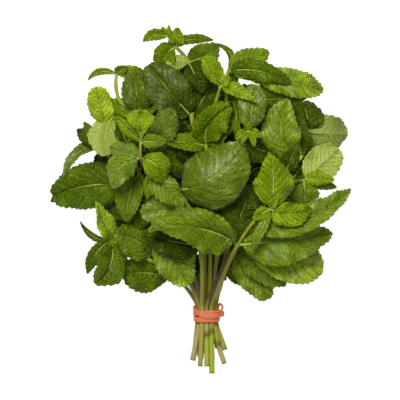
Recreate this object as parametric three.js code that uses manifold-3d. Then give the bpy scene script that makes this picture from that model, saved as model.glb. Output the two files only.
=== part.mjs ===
// A bunch of fresh mint lying on its back: sixteen leafy stems held by one rubber band.
// Millimetres, +Z up. +X is across the bunch, +Y runs from the cut ends to the crown.
import * as THREE from "three";
import { mergeVertices } from "three/addons/utils/BufferGeometryUtils.js";
import Module from "manifold-3d";

// ---- driving dimensions ----
const TIE_HEIGHT = 8.6; // axis of the bundle above the table, where the band holds it
const STEM_FOOT_RADIUS = 1.85; // half diagonal of a square stem at its cut end
const STEM_TIP_RADIUS = 0.9; // the same at the crown of the stem
const JOINT_RADIUS = 2; // the swelling where leaves grow
const JOINT_TURN = 0.35; // its slant, which keeps its corners off the stem's own
const STEM_CORNERS = [0.6, 2.17, 3.74, 5.31]; // where its four corners stand, in radians
const POINTS_BELOW_NODES = 4; // cut end and three points through the band
const STEM_STEP = 22; // length of one straight facet of a stem
const LEAF_THICKNESS = 0.7;
const PETIOLE_SHARE = 0.06; // share of a leaf's length that is bare stalk
const PETIOLE_HALF_WIDTH = 0.8;
const TIP_HALF_WIDTH = 0.4;
const BEND_SHARE = 0.45; // where along a leaf its midrib bends
const BELLY = 0.4; // the form of a blade that gives none of its own
const BLUNT = 0.62;
const TOOTH_LENGTH = 20; // length of margin that one tooth of a leaf takes
const TOOTH_DEPTH = 0.07; // how far a tooth stands out, as a share of the half width
const SLIVER = 0.02; // facets smaller than this are smoothed away after a cut
const WELD = 0.001; // points nearer than this are one point
const CLEARANCE = 0.35; // gap kept between one leafy stem and the next
const BUNDLE_MIDDLE = -1.5; // middle of the bundled stems, across
const BAND_HALF_ACROSS = 8.5; // inner half widths of the band, across and up
const BAND_HALF_UP = 7.4;
const BAND_WIDTH = 3.6;
const BAND_THICKNESS = 0.9;
const BAND_STEPS = 18; // straight facets in one turn of the band
const BAND_SQUARENESS = 2 / 3; // 1 would lay the band in an ellipse, less in a squarer loop
const TIE_REACH = 6; // how far to each side of the band the stems run straight
const LOOP_STEPS = 9; // straight facets in the band's slack loop

const wasm = await Module();
wasm.setup();

const v3 = (x, y, z) => new THREE.Vector3(x, y, z);
const radians = THREE.MathUtils.degToRad;

// ---- the sixteen stems ----
// slot: where the stem passes the band, from the bundle's axis [across, up].
// cut: the cut end below the band. nodes: the joints that bear leaves, up to the growing tip.
// A leaf is [node it grows from, tip x, y, z, blade width, { how it is held }], where
// roll turns the blade about its midrib, twist is how much more its tip is turned than its base, fold
// lifts its two halves, and arch and bow bend the midrib up and sideways, in degrees and millimetres.
// belly is the share of its length where the blade is widest, and blunt says how narrow its two ends
// are, less being rounder.
const STEMS = [
  {
    name: "stem_top_left",
    slot: [-3.2, 1.7],
    cut: [-3.4, -27.2, 10.5],
    nodes: [[-5, 48, 38], [-9, 95, 46], [-12, 139, 50], [-14, 177, 46], [-23, 188, 45], [-28, 195, 46]],
    leaves: [
      [0, -43, 55, 48, 24, { roll: -8, fold: 8, arch: 4, belly: 0.45, blunt: 0.5 }],
      [1, -32, 130, 44, 24, { fold: 10, arch: 4 }],
      [1, -19, 138, 50, 19, { fold: 10, arch: 3 }],
      [1, 14, 118, 40, 22, { fold: 10, arch: 3 }],
      [2, -42, 175, 57, 30, { roll: 8, fold: 14, arch: 5, belly: 0.5, blunt: 0.5 }],
      [2, 4, 165, 38, 24, { fold: 12, arch: 3 }],
      [3, 7, 188, 44, 18, { fold: 15, arch: 4, bow: -1 }],
      [3, -6, 191, 34, 9, { roll: 40, fold: 10 }],
      [3, -4, 156, 54, 18, { fold: 10, arch: 4 }],
      [3, -31, 171, 50, 10, { roll: 180, fold: 10, bow: 3 }],
      [4, -31, 171, 44, 17, { fold: 20, arch: 3, bow: -4, belly: 0.45, blunt: 0.7 }],
      [4, -22, 201, 54, 11, { fold: 12, arch: 2 }],
      [4.3, 3, 193, 42, 8, { roll: 20, fold: 20, bow: 2 }],
      [5, -46, 192, 42, 8, { fold: 20, arch: 3, bow: -3 }],
      [5, -28, 203, 48, 4, { fold: 20 }],
      [5, -33, 202, 48, 4, { fold: 20 }],
    ],
  },
  {
    name: "stem_top_centre",
    slot: [0.1, 1.7],
    cut: [1.6, -26.2, 8],
    nodes: [[1, 60, 42], [-2, 119, 52], [5, 150, 58], [8, 160, 66]],
    leaves: [
      [0, 26, 92, 38, 24, { fold: 10, arch: 1 }],
      [0, -22, 88, 50, 24, { fold: 8, arch: 4 }],
      [1, -31, 122, 58, 13, { roll: -15, fold: 15, arch: 3 }],
      [1, 15, 146, 68, 24, { roll: -15, fold: 25, arch: 3, bow: 7, belly: 0.5, blunt: 0.5 }],
      [1, 20, 137, 56, 18, { roll: 30, fold: 15, arch: 2 }],
      [3, -4, 180, 62, 13, { fold: 14, arch: 3, bow: -1, belly: 0.5, blunt: 0.5 }],
      [3, 14, 167, 70, 9, { fold: 30, arch: 1 }],
      [3, 33, 148, 74, 10, { roll: 20, fold: 18, arch: 2, bow: 1, belly: 0.3, blunt: 0.8 }],
    ],
  },
  {
    name: "stem_upper_left",
    slot: [-6.5, 1.7],
    cut: [-11.5, -32.7, 10.5],
    nodes: [[-23, 46, 34], [-36, 95, 44], [-47, 138, 50], [-62, 150, 46], [-65, 161, 46], [-64.5, 169, 46]],
    leaves: [
      [0.4, -14, 22, 34, 28, { fold: 8, arch: 1, bow: -4, belly: 0.5, blunt: 0.5 }],
      [1.4, -25, 144, 68, 20, { roll: 10, fold: 8, arch: 3, belly: 0.5, blunt: 0.5 }],
      [2, -53, 170, 52, 21, { fold: 16, arch: 2, belly: 0.55, blunt: 0.5 }],
      [2, -69, 150, 42, 19, { fold: 10, arch: 2 }],
      [2, -33, 148, 58, 5, { fold: 20, arch: 6 }],
      [5, -85, 165, 38, 5, { fold: 20, arch: 3, bow: -4 }],
      [5, -57, 174, 50, 8, { fold: 20, arch: 1 }],
      [5, -44, 169, 46, 9, { roll: 15, fold: 15, arch: 2, bow: 1 }],
    ],
  },
  {
    name: "stem_left_high",
    slot: [-4.8, -1.5],
    cut: [-6.6, -30.2, 5.5],
    nodes: [[-16, 42, 24], [-42, 86, 38], [-57, 120, 46], [-66, 140, 42], [-72, 132, 38]],
    leaves: [
      [1.4, -57, 66, 46, 18, { fold: 12, arch: 3, bow: -3, belly: 0.45 }],
      [1, -75, 74, 24, 24, { fold: 10, arch: 2 }],
      [1, -50, 60, 36, 16, { fold: 10, arch: 2 }],
      [1.4, -43, 126, 39, 24, { fold: 8, arch: 2 }],
      [3, -72, 112, 52, 30, { roll: 160, fold: 30, arch: -2, bow: 3, belly: 0.45, blunt: 0.6 }],
      [2, -65, 141, 58, 15, { roll: -50, fold: 15 }],
      [2, -48, 138, 50, 14, { fold: 10 }],
      [4, -79, 160, 46, 17, { fold: 6, arch: 3, belly: 0.58, blunt: 0.45 }],
    ],
  },
  {
    name: "stem_front_left",
    slot: [-4.8, 5],
    cut: [-6.2, -36.7, 14],
    nodes: [[-5.5, 42, 44], [-11, 69, 56], [-22, 88, 62], [-41, 100, 68], [-47, 110, 72], [-47, 121, 76]],
    leaves: [
      [1, -47, 71, 58, 21, { fold: 8, arch: 3, bow: -4, belly: 0.5, blunt: 0.5 }],
      [2, 24, 118, 70, 42, { roll: 4, fold: -7, arch: 10, bow: -7, belly: 0.42, blunt: 0.38 }],
      [3, -18, 77, 66, 18, { fold: 10, arch: 3 }],
      [3, -43, 82, 66, 7, { fold: 15 }],
      [4, -31, 94, 72, 18, { fold: 10, arch: 6, bow: 4, belly: 0.5, blunt: 0.5 }],
      [4, -66, 89, 64, 20, { fold: -12, arch: 3, bow: -6 }],
      [4, -69, 118, 56, 16, { fold: 10, arch: 2 }],
      [5, -64, 139, 78, 8, { roll: 25, fold: 25, arch: 1, belly: 0.5 }],
      [5, -47, 143, 84, 21, { fold: 32, arch: 1, belly: 0.78, blunt: 0.55 }],
      [5, -29, 122, 76, 10, { fold: 12, arch: 2 }],
    ],
  },
  {
    name: "stem_left",
    slot: [-6.4, -4.7],
    cut: [-10.2, -28.2, 1.5],
    nodes: [[-20, 34, 14], [-38, 66, 24], [-55, 91, 32], [-67, 107, 34], [-75, 118, 36]],
    leaves: [
      [1, -72, 66, 9, 22, { fold: 10, arch: 3 }],
      [2, -110, 84, 26, 32, { fold: 10, arch: 6, bow: -4, belly: 0.48, blunt: 0.46 }],
      [2, -30, 112, 34, 22, { fold: 10, arch: 3 }],
      [3, -112, 80, 16, 16, { fold: 10, arch: 3 }],
      [4, -102, 97, 34, 8, { roll: -30, fold: 15, bow: -9 }],
      [4, -93, 131, 27, 12, { fold: 12, arch: 2 }],
      [4, -88, 136, 30, 8, { fold: 12, arch: 2 }],
    ],
  },
  {
    name: "stem_low_left",
    slot: [-8.1, -1.5],
    cut: [-10, -25.2, 6.5],
    nodes: [[-25, 29, 18], [-42, 39, 24], [-58, 48, 28], [-69, 53, 30]],
    leaves: [
      [0, -61, 30, 16, 28, { fold: 8, arch: 3, belly: 0.58, blunt: 0.55 }],
      [1, -50, 68, 31, 20, { fold: 10, arch: 3 }],
      [2, -40, 66, 36, 20, { fold: 10, arch: 2 }],
      [1, -66, 58, 40, 25, { fold: 10, arch: 3, bow: -5, belly: 0.5, blunt: 0.5 }],
      [3, -79, 80, 44, 16, { roll: -20, fold: 28, arch: 2, belly: 0.3, blunt: 0.8 }],
      [2.6, -73, 53, 34, 8, { fold: 8 }],
      [3, -91, 66, 22, 5, { roll: 30, fold: 15, bow: 5 }],
      [3, -86, 29, 20, 10, { fold: 12, arch: 3, bow: -3 }],
      [3, -80, 22, 26, 23, { roll: 20, fold: 24, arch: 3, bow: 5, belly: 0.5, blunt: 0.55 }],
      [2.6, -63, 30, 12, 12, { fold: 10, arch: 3 }],
    ],
  },
  {
    name: "stem_upper_right",
    slot: [-1.5, 5],
    cut: [-1.3, -36.7, 14.5],
    nodes: [[12, 43, 36], [14, 92, 54], [20, 121, 64], [27, 129, 70]],
    leaves: [
      [0, 30, 92, 58, 30, { fold: 8, arch: 5 }],
      [1, 44, 110, 46, 26, { fold: 10, arch: 2 }],
      [2, 18, 152, 60, 9, { roll: 60, fold: 15 }],
      [2, 47, 112, 56, 20, { roll: 20, fold: 10 }],
      [3, 32, 161, 64, 20, { fold: 10, arch: 2, belly: 0.5, blunt: 0.45 }],
      [3, 18, 123, 73, 5, { fold: 20, bow: -1 }],
      [3, 22, 120, 75, 4, { fold: 20 }],
      [3, 31, 118, 73, 5, { fold: 20, bow: 1 }],
      [3, 36, 124, 72, 6, { fold: 20, bow: 1 }],
      [3, 26, 135, 75, 5, { fold: 25, blunt: 0.5 }],
    ],
  },
  {
    name: "stem_top_right",
    slot: [1.8, -1.5],
    cut: [11, -35.2, 4.5],
    nodes: [[7, 58, 28], [10, 115, 34], [12, 150, 38], [13, 171, 40]],
    leaves: [
      [1, -14, 142, 30, 22, { fold: 10, arch: 3 }],
      [1, 47, 138, 32, 26, { fold: 8, arch: 3 }],
      [2, 17, 173, 32, 12, { fold: 10, arch: 2 }],
      [3, 57, 163, 44, 15, { fold: 14, arch: 4, bow: 4 }],
      [3, 42, 185, 38, 19, { fold: 12, arch: 3 }],
      [3, 80, 158, 36, 20, { fold: 14, arch: 4, bow: 1, belly: 0.68, blunt: 0.6 }],
      [2, 68, 153, 31, 20, { fold: 10, arch: 3 }],
      [3, 3, 191, 38, 5, { roll: -20, fold: 15, bow: -8 }],
    ],
  },
  {
    name: "stem_right_high",
    slot: [3.4, 1.7],
    cut: [6.6, -19.7, 13],
    nodes: [[15, 42, 28], [33, 78, 44], [53, 100, 50], [64, 111, 52], [68, 129, 48]],
    leaves: [
      [2, 37, 131, 52, 11, { fold: 15, arch: 2 }],
      [2, 43, 116, 52, 14, { fold: 12, arch: 2 }],
      [2, 60, 118, 56, 13, { fold: 12, arch: 3 }],
      [3, 55, 151, 64, 30, { roll: 14, fold: 22, arch: 5, bow: 9, belly: 0.45, blunt: 0.7 }],
      [3, 46, 167, 15, 26, { fold: 10, arch: 2, belly: 0.5, blunt: 0.5 }],
      [4, 97, 127, 42, 26, { roll: 168, fold: 6, arch: -3, belly: 0.5, blunt: 0.45 }],
      [3, 64, 141, 56, 13, { fold: 8, arch: 4, bow: 1 }],
      [4, 65, 149, 44, 22, { fold: 10, arch: 2, bow: -2, belly: 0.45, blunt: 0.6 }],
      [4, 71, 104, 50, 8, { fold: 15 }],
    ],
  },
  {
    name: "stem_right",
    slot: [3.5, -4.7],
    cut: [6.4, -24.2, 2],
    nodes: [[14, 42, 16], [37, 76, 33], [56, 93, 46], [66, 95, 52]],
    leaves: [
      [3, 87, 95, 56, 10, { fold: 15, arch: 2, bow: 1 }],
      [3, 89, 90, 48, 8, { fold: 12, arch: 2 }],
      [3, 67, 75, 48, 20, { fold: 10, arch: 3, belly: 0.5, blunt: 0.5 }],
      [3, 90, 117, 50, 24, { roll: 180, fold: 10, arch: -2, belly: 0.5, blunt: 0.45 }],
      [2, 50, 117, 40, 18, { fold: 12, arch: 2 }],
      [2, 74, 117, 36, 22, { fold: 10, arch: 3 }],
    ],
  },
  {
    name: "stem_front_right",
    slot: [1.8, 5],
    cut: [2.1, -41.7, 14],
    nodes: [[8, 22, 30], [14, 38, 44], [20, 50, 54], [31, 66, 64], [42, 75, 70]],
    leaves: [
      [2, -42, 60, 64, 34, { twist: -105, fold: 36, arch: 6, bow: -7, belly: 0.42, blunt: 0.5 }],
      [2, 86, 58, 50, 35, { roll: 4, fold: 6, arch: 8, bow: -1, belly: 0.42, blunt: 0.8 }],
      [3, 98, 89, 56, 23, { roll: 10, twist: 30, fold: 28, arch: 3, bow: -10, belly: 0.32, blunt: 0.6 }],
      [4, 41, 114, 74, 30, { roll: 4, fold: -20, arch: 5, bow: -3, belly: 0.38, blunt: 0.95 }],
      [4, 71, 75, 67, 17, { fold: 14, arch: 3, bow: -4 }],
      [4, 30, 68, 70, 9, { fold: 15, arch: 1 }],
      [4, 28, 46, 66, 8, { roll: -20, fold: 25, arch: 3, bow: 2 }],
      [4, 47, 84, 80, 6, { fold: 20 }],
    ],
  },
  {
    name: "stem_low_right",
    slot: [5.1, -1.5],
    cut: [11.5, -25.2, 10],
    nodes: [[8, 20, 14], [17, 42, 24], [27, 52, 32], [40, 64, 36]],
    leaves: [
      [0.6, 30, 23, 12, 14, { fold: 8, arch: 2, belly: 0.45, blunt: 0.45 }],
      [1, 41, 11, 22, 24, { fold: 12, arch: 4, bow: 3, belly: 0.42, blunt: 0.5 }],
      [1.5, 54, 21, 28, 22, { fold: 14, arch: 5 }],
      [2, 80, 34, 42, 32, { roll: 6, fold: 8, arch: 6, bow: -3, belly: 0.6, blunt: 0.45 }],
      [2, 22, 92, 30, 24, { fold: 10, arch: 1 }],
      [3, 78, 78, 34, 24, { fold: 10, arch: 3 }],
    ],
  },
  {
    name: "stem_back_centre",
    slot: [-1.5, -1.5],
    cut: [-0.8, -32.2, 4.5],
    nodes: [[-4, 55, 16], [-8, 95, 20], [-16, 130, 22], [-20, 155, 24]],
    leaves: [
      [0, -20, 84, 26, 26, { arch: 3 }],
      [0, 20, 84, 26, 26, { arch: 3 }],
      [1, -44, 116, 20, 28, { arch: 3 }],
      [1, 26, 124, 20, 30, { arch: 3 }],
      [2, -44, 146, 26, 26, { arch: 3 }],
      [2, 20, 150, 24, 32, { arch: 3 }],
      [3, -40, 172, 26, 22, { arch: 3 }],
      [3, 0, 177, 26, 26, { arch: 3 }],
    ],
  },
  {
    name: "stem_back_right",
    slot: [0.2, -4.7],
    cut: [2.6, -32.2, 1.1],
    nodes: [[9, 50, 9], [22, 85, 10], [36, 112, 12], [44, 132, 14]],
    leaves: [
      [0, 44, 44, -1, 24, { arch: 3 }],
      [0, 4, 20, 4, 20, { arch: 3 }],
      [1, 70, 88, 4, 30, { arch: 3 }],
      [1, -2, 110, 2, 24, { arch: 3 }],
      [2, 72, 122, -1.5, 30, { arch: 3 }],
      [2, 14, 142, 6, 26, { arch: 3 }],
      [3, 64, 156, 10, 26, { arch: 3 }],
      [3, 20, 162, 8, 26, { arch: 3 }],
    ],
  },
  {
    name: "stem_back_left",
    slot: [-3.1, -4.7],
    cut: [-5.8, -32.2, 1.1],
    nodes: [[-12, 45, 8], [-30, 80, 10], [-48, 108, 12], [-58, 128, 14]],
    leaves: [
      [0, -46, 42, -1, 24, { arch: 3 }],
      [0, -8, 16, 3, 16, { arch: 2 }],
      [1, -70, 82, 4, 28, { arch: 3 }],
      [1, -14, 114, 3, 24, { arch: 3 }],
      [2, -82, 110, -1.5, 26, { arch: 3 }],
      [2, -22, 134, 6, 26, { arch: 3 }],
      [3, -74, 148, 10, 24, { arch: 3 }],
      [3, -38, 152, 8, 24, { arch: 3 }],
    ],
  },
];

// ---- closed bodies ----

// A body from rings of equally many points, joined in order, with its two ends closed.
// Faces between points j and j + 1 are split along the other diagonal where crossed[j] is set,
// and a closed body runs back into its first ring.
function skin(rings, { crossed = [], closed = false } = {}) {
  const n = rings[0].length;
  const points = rings.flat().flatMap((p) => [p.x, p.y, p.z]);
  const faces = [];
  const joins = closed ? rings.length : rings.length - 1;
  for (let r = 0; r < joins; r++) {
    for (let j = 0; j < n; j++) {
      const k = (j + 1) % n;
      const next = (r + 1) % rings.length;
      const [a, b, c, d] = [r * n + j, r * n + k, next * n + j, next * n + k];
      if (crossed[j]) faces.push(a, b, c, b, d, c);
      else faces.push(a, b, d, a, d, c);
    }
  }
  const last = (rings.length - 1) * n;
  for (let j = 1; j < n - 1 && !closed; j++) {
    faces.push(0, j + 1, j);
    faces.push(last, last + j, last + j + 1);
  }
  const geometry = new THREE.BufferGeometry();
  geometry.setAttribute("position", new THREE.Float32BufferAttribute(points, 3));
  geometry.setIndex(faces);
  return solid(geometry);
}

function solid(geometry) {
  geometry.deleteAttribute("normal");
  geometry.deleteAttribute("uv");
  const merged = mergeVertices(geometry, WELD);
  const faces = new Uint32Array(merged.index.array);
  const build = () =>
    new wasm.Manifold(
      new wasm.Mesh({ numProp: 3, vertProperties: merged.attributes.position.array, triVerts: faces }),
    );
  const made = build();
  if (made.volume() > 0) return made;
  for (let i = 0; i < faces.length; i += 3) [faces[i + 1], faces[i + 2]] = [faces[i + 2], faces[i + 1]];
  return build();
}

function geometryOf(manifold) {
  const mesh = manifold.getMesh();
  const geometry = new THREE.BufferGeometry();
  geometry.setAttribute("position", new THREE.BufferAttribute(mesh.vertProperties, 3));
  geometry.setIndex(new THREE.BufferAttribute(mesh.triVerts, 1));
  return geometry.toNonIndexed();
}

// ---- stems ----

// The line of a stem: cut end, three points through the band, then its leaf nodes.
function stemCurve(stem) {
  const [across, up] = stem.slot;
  const tie = [-TIE_REACH, 0, TIE_REACH].map((y) => v3(across, y, TIE_HEIGHT + up));
  const nodes = stem.nodes.map((p) => v3(...p));
  return new THREE.CatmullRomCurve3([v3(...stem.cut), ...tie, ...nodes], false, "centripetal");
}

// Where a leaf node lies along the line of its stem, from 0 to 1; a fraction lies between two nodes.
const shareOf = (stem, at) => (at + POINTS_BELOW_NODES) / (stem.nodes.length - 1 + POINTS_BELOW_NODES);
const nodePoint = (stem, curve, at) => curve.getPoint(shareOf(stem, at));

// A square stem that tapers to its tip, straight from each point of its line to the next.
function stalk(stem, curve, grow = 0) {
  const places = Array.from({ length: stem.nodes.length + POINTS_BELOW_NODES }, (_, i) => i);
  const bends = [...places.map((i) => i - POINTS_BELOW_NODES), ...stem.leaves.map((leaf) => leaf[0])];
  const stops = [...new Set(bends)].sort((p, q) => p - q).map((at) => shareOf(stem, at));
  const shares = stops.slice(1).flatMap((next, i) => {
    const reach = curve.getPoint(stops[i]).distanceTo(curve.getPoint(next));
    const steps = Math.max(1, Math.round(reach / STEM_STEP));
    return Array.from({ length: steps }, (_, k) => THREE.MathUtils.lerp(stops[i], next, k / steps));
  });
  const rings = [...shares, 1].map((share) => {
    const centre = curve.getPoint(share);
    const along = curve.getTangent(share);
    const side = v3(0, 0, 1).cross(along).normalize();
    const up = along.clone().cross(side);
    const radius = THREE.MathUtils.lerp(STEM_FOOT_RADIUS, STEM_TIP_RADIUS, share) + grow;
    return STEM_CORNERS.map((turn) =>
      centre
        .clone()
        .addScaledVector(side, radius * Math.cos(turn))
        .addScaledVector(up, radius * Math.sin(turn)),
    );
  });
  return skin(rings);
}

// ---- leaves ----

// Half width of a blade as a share of its widest, from its base at 0 to its tip at 1.
function bladeOutline(share, { belly = BELLY, blunt = BLUNT }) {
  const turn = Math.PI * Math.pow(share, Math.log(0.5) / Math.log(belly));
  return Math.pow(Math.sin(turn), blunt);
}

// The midrib as a bent line with the direction across the blade and the way its upper face looks.
function midrib(root, leaf) {
  const [, x, y, z, , held] = leaf;
  const tip = v3(x, y, z);
  const chord = tip.clone().sub(root);
  const along = chord.clone().normalize();
  const face = v3(0, 0, 1).addScaledVector(along, -along.z).normalize();
  const side = face.clone().cross(along);
  const roll = radians(held.roll ?? 0);
  const up = face.clone().multiplyScalar(Math.cos(roll)).addScaledVector(side, Math.sin(roll));
  const left = up.clone().cross(along);
  const bend = root
    .clone()
    .addScaledVector(chord, BEND_SHARE)
    .addScaledVector(up, 2 * (held.arch ?? 0))
    .addScaledVector(left, 2 * (held.bow ?? 0));
  const line = new THREE.QuadraticBezierCurve3(root, bend, tip);
  return (s) => {
    const tangent = line.getTangent(s);
    const across = left.clone().addScaledVector(tangent, -left.dot(tangent)).normalize();
    across.applyAxisAngle(tangent, radians(held.twist ?? 0) * (s - 0.5));
    return { point: line.getPoint(s), across, up: tangent.clone().cross(across) };
  };
}

// One leaf: bare stalk, then a toothed blade folded along its midrib.
function blade(root, leaf, grow = 0) {
  const [, x, y, z, width, held] = leaf;
  const frameAt = midrib(root, leaf);
  const length = root.distanceTo(v3(x, y, z));
  const teeth = Math.max(1, Math.round(length / TOOTH_LENGTH));
  const rows = 2 * teeth + 1;
  const fold = radians(held.fold ?? 0);
  const lift = LEAF_THICKNESS / 2 + grow;
  const ring = (s, half) => {
    const { point, across, up } = frameAt(s);
    const edge = (sign) =>
      point
        .clone()
        .addScaledVector(across, sign * half * Math.cos(fold))
        .addScaledVector(up, half * Math.sin(fold));
    const line = fold ? [edge(-1), point, edge(1)] : [edge(-1), edge(1)];
    return [
      ...line.map((p) => p.clone().addScaledVector(up, lift)),
      ...line.reverse().map((p) => p.clone().addScaledVector(up, -lift)),
    ];
  };
  const rings = [ring(0, PETIOLE_HALF_WIDTH + grow), ring(PETIOLE_SHARE, PETIOLE_HALF_WIDTH + grow)];
  for (let k = 1; k < rows; k++) {
    const share = k / rows;
    const tooth = k % 2 ? -TOOTH_DEPTH : TOOTH_DEPTH;
    const half = (width / 2) * bladeOutline(share, held) * (1 + tooth) + grow;
    rings.push(ring(PETIOLE_SHARE + (1 - PETIOLE_SHARE) * share, half));
  }
  rings.push(ring(1, TIP_HALF_WIDTH + grow));
  return skin(rings, { crossed: fold ? [false, false, false, true, true] : [false, false, true] });
}

// The swollen joint of a stem that leaves grow from.
function joint(centre, radius) {
  const geometry = new THREE.OctahedronGeometry(radius);
  return solid(geometry.rotateZ(JOINT_TURN).rotateX(JOINT_TURN).translate(centre.x, centre.y, centre.z));
}

function leafyStem(stem, grow = 0) {
  const curve = stemCurve(stem);
  const pieces = [stalk(stem, curve, grow)];
  for (const at of new Set(stem.leaves.map((leaf) => leaf[0]))) {
    const crowd = stem.leaves.filter((leaf) => leaf[0] === at).length;
    if (crowd > 2) pieces.push(joint(nodePoint(stem, curve, at), JOINT_RADIUS + grow));
  }
  for (const leaf of stem.leaves) pieces.push(blade(nodePoint(stem, curve, leaf[0]), leaf, grow));
  return wasm.Manifold.union(pieces);
}

// The main body of a cut solid, with slivers and loose scraps left out.
function mainBody(manifold) {
  const merged = solid(mergeVertices(geometryOf(manifold.simplify(SLIVER)), 2 * WELD));
  return merged.decompose().reduce((best, piece) => (piece.volume() > best.volume() ? piece : best));
}

// Each leafy stem gives way to the ones already laid, and nothing reaches below the table.
function layStems() {
  const laid = [];
  return STEMS.map((stem) => {
    let body = leafyStem(stem).trimByPlane([0, 0, 1], 0);
    for (const other of laid) body = body.subtract(other);
    laid.push(leafyStem(stem, CLEARANCE));
    return { stem, body: mainBody(body) };
  });
}

// ---- rubber band ----

// One turn round the bundle. middle is how far up the stems it lies, rise how much higher it is on
// the right than there, dip how much lower in front, back how much higher behind, and slack how far
// its right side stands off.
const BAND_TURNS = [
  { middle: -3.8, rise: 0, dip: 0, back: 2.4, slack: 0 },
  { middle: 1.1, rise: 0.2, dip: 0, back: 0, slack: 0 },
  { middle: 2.4, rise: -2, dip: 3.6, back: 0, slack: 2.6 },
];
// The slack end: a loop that stands out of the turns at the right and tucks in behind them.
const BAND_LOOP = [
  [3.2, 2, 16.6],
  [7, 2.2, 15.4],
  [9.4, 3.8, 12.5],
  [9.4, 6, 10.5],
  [7.8, 7.2, 8],
  [6.8, 5.4, 6],
  [6.6, 2.4, 5],
];
const BAND_LOOP_WIDTH = 2;

function bandTurn({ middle, rise, dip, back, slack }) {
  const rings = [];
  for (let i = 0; i < BAND_STEPS; i++) {
    const turn = (i * 2 * Math.PI) / BAND_STEPS;
    const [cos, sin] = [Math.cos(turn), Math.sin(turn)];
    const squared = (value) => Math.sign(value) * Math.pow(Math.abs(value), BAND_SQUARENESS);
    const y = middle + rise * cos - dip * Math.pow(Math.max(0, sin), 3) + (back * (1 - sin)) / 2;
    const out = slack * Math.pow(Math.max(0, cos), 4);
    const corner = (thick, along) =>
      v3(
        BUNDLE_MIDDLE + (BAND_HALF_ACROSS + thick + out) * squared(cos),
        y + along,
        TIE_HEIGHT + (BAND_HALF_UP + thick) * squared(sin),
      );
    const half = BAND_WIDTH / 2;
    rings.push([
      corner(0, -half),
      corner(0, half),
      corner(BAND_THICKNESS, half),
      corner(BAND_THICKNESS, -half),
    ]);
  }
  return skin(rings, { closed: true });
}

function bandLoop() {
  const line = new THREE.CatmullRomCurve3(BAND_LOOP.map((p) => v3(...p)));
  const rings = Array.from({ length: LOOP_STEPS + 1 }, (_, i) => {
    const along = line.getTangentAt(i / LOOP_STEPS);
    const side = v3(0, 1, 0).cross(along).normalize();
    const up = along.clone().cross(side);
    return [[1, 1], [-1, 1], [-1, -1], [1, -1]].map(([p, q]) =>
      line
        .getPointAt(i / LOOP_STEPS)
        .addScaledVector(side, (p * BAND_THICKNESS) / 2)
        .addScaledVector(up, (q * BAND_LOOP_WIDTH) / 2),
    );
  });
  return skin(rings);
}

// ---- the bunch ----

const green = new THREE.MeshStandardMaterial({ color: 0x4f7a16, roughness: 0.5 });
const salmon = new THREE.MeshStandardMaterial({ color: 0xd2733f, roughness: 0.6 });
const bunch = new THREE.Group();
const add = (name, body, material) => {
  const mesh = new THREE.Mesh(geometryOf(body), material);
  mesh.name = name;
  bunch.add(mesh);
};
const stems = layStems();
for (const { stem, body } of stems) add(stem.name, body, green);
add("rubber_band", mainBody(wasm.Manifold.union([...BAND_TURNS.map(bandTurn), bandLoop()])), salmon);

// The origin is the middle of the bunch's footprint, on the table.
const box = new THREE.Box3().setFromObject(bunch);
const middle = box.getCenter(v3(0, 0, 0));
bunch.position.set(-middle.x, -middle.y, -box.min.z);

export default bunch;
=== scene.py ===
"""A bunch of fresh mint lying on its back: sixteen leafy stems in a wound rubber band."""

import math
import random

import bmesh
import bpy
from mathutils import Matrix, Vector, noise


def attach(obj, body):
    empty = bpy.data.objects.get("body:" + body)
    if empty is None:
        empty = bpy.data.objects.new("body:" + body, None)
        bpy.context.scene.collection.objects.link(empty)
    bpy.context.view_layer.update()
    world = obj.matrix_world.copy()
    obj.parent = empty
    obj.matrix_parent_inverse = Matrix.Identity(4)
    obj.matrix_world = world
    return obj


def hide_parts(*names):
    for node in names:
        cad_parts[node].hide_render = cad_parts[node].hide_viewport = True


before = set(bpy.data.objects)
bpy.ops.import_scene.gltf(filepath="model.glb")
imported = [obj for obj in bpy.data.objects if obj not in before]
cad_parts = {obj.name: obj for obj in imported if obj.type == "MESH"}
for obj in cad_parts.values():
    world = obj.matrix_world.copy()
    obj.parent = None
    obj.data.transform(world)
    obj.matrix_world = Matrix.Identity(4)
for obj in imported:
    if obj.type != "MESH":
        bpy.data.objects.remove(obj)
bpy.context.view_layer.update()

# ---- sizes, in millimetres ----
# Places are counted across, along the stems and up, from where the band crosses the bundle.

MM = 0.001
TIE = Vector((6.979, -80.679, 0))
TIE_HEIGHT = 8.6
TIE_REACH = 6
POINTS_BELOW_NODES = 4
BUNDLE_MIDDLE = -1.5
LOWEST = 0.45
MERGE_DISTANCE = 0.0005
PATTERN_SHIFT = 13.7  # sets the pattern of each piece apart
ANY_TURN = (0, 6.28)  # in radians

STEM_FOOT_RADIUS = 1.85
STEM_TIP_RADIUS = 0.9
STEM_STEP = 2.2
STEM_SIDES = 16
STEM_SQUARENESS = 0.09
CURVE_STEPS = 400
NODE_SWELLING = 0.28
NODE_REACH = 3.0
SCAR_REACH = 1.7
SCAR_SWELLING = 0.12
NO_SCAR = -100  # far below every cut end
TONE_BELOW_SCAR = 0.1
TAN_FADE = 40
CUT_RIM = 0.35

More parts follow.
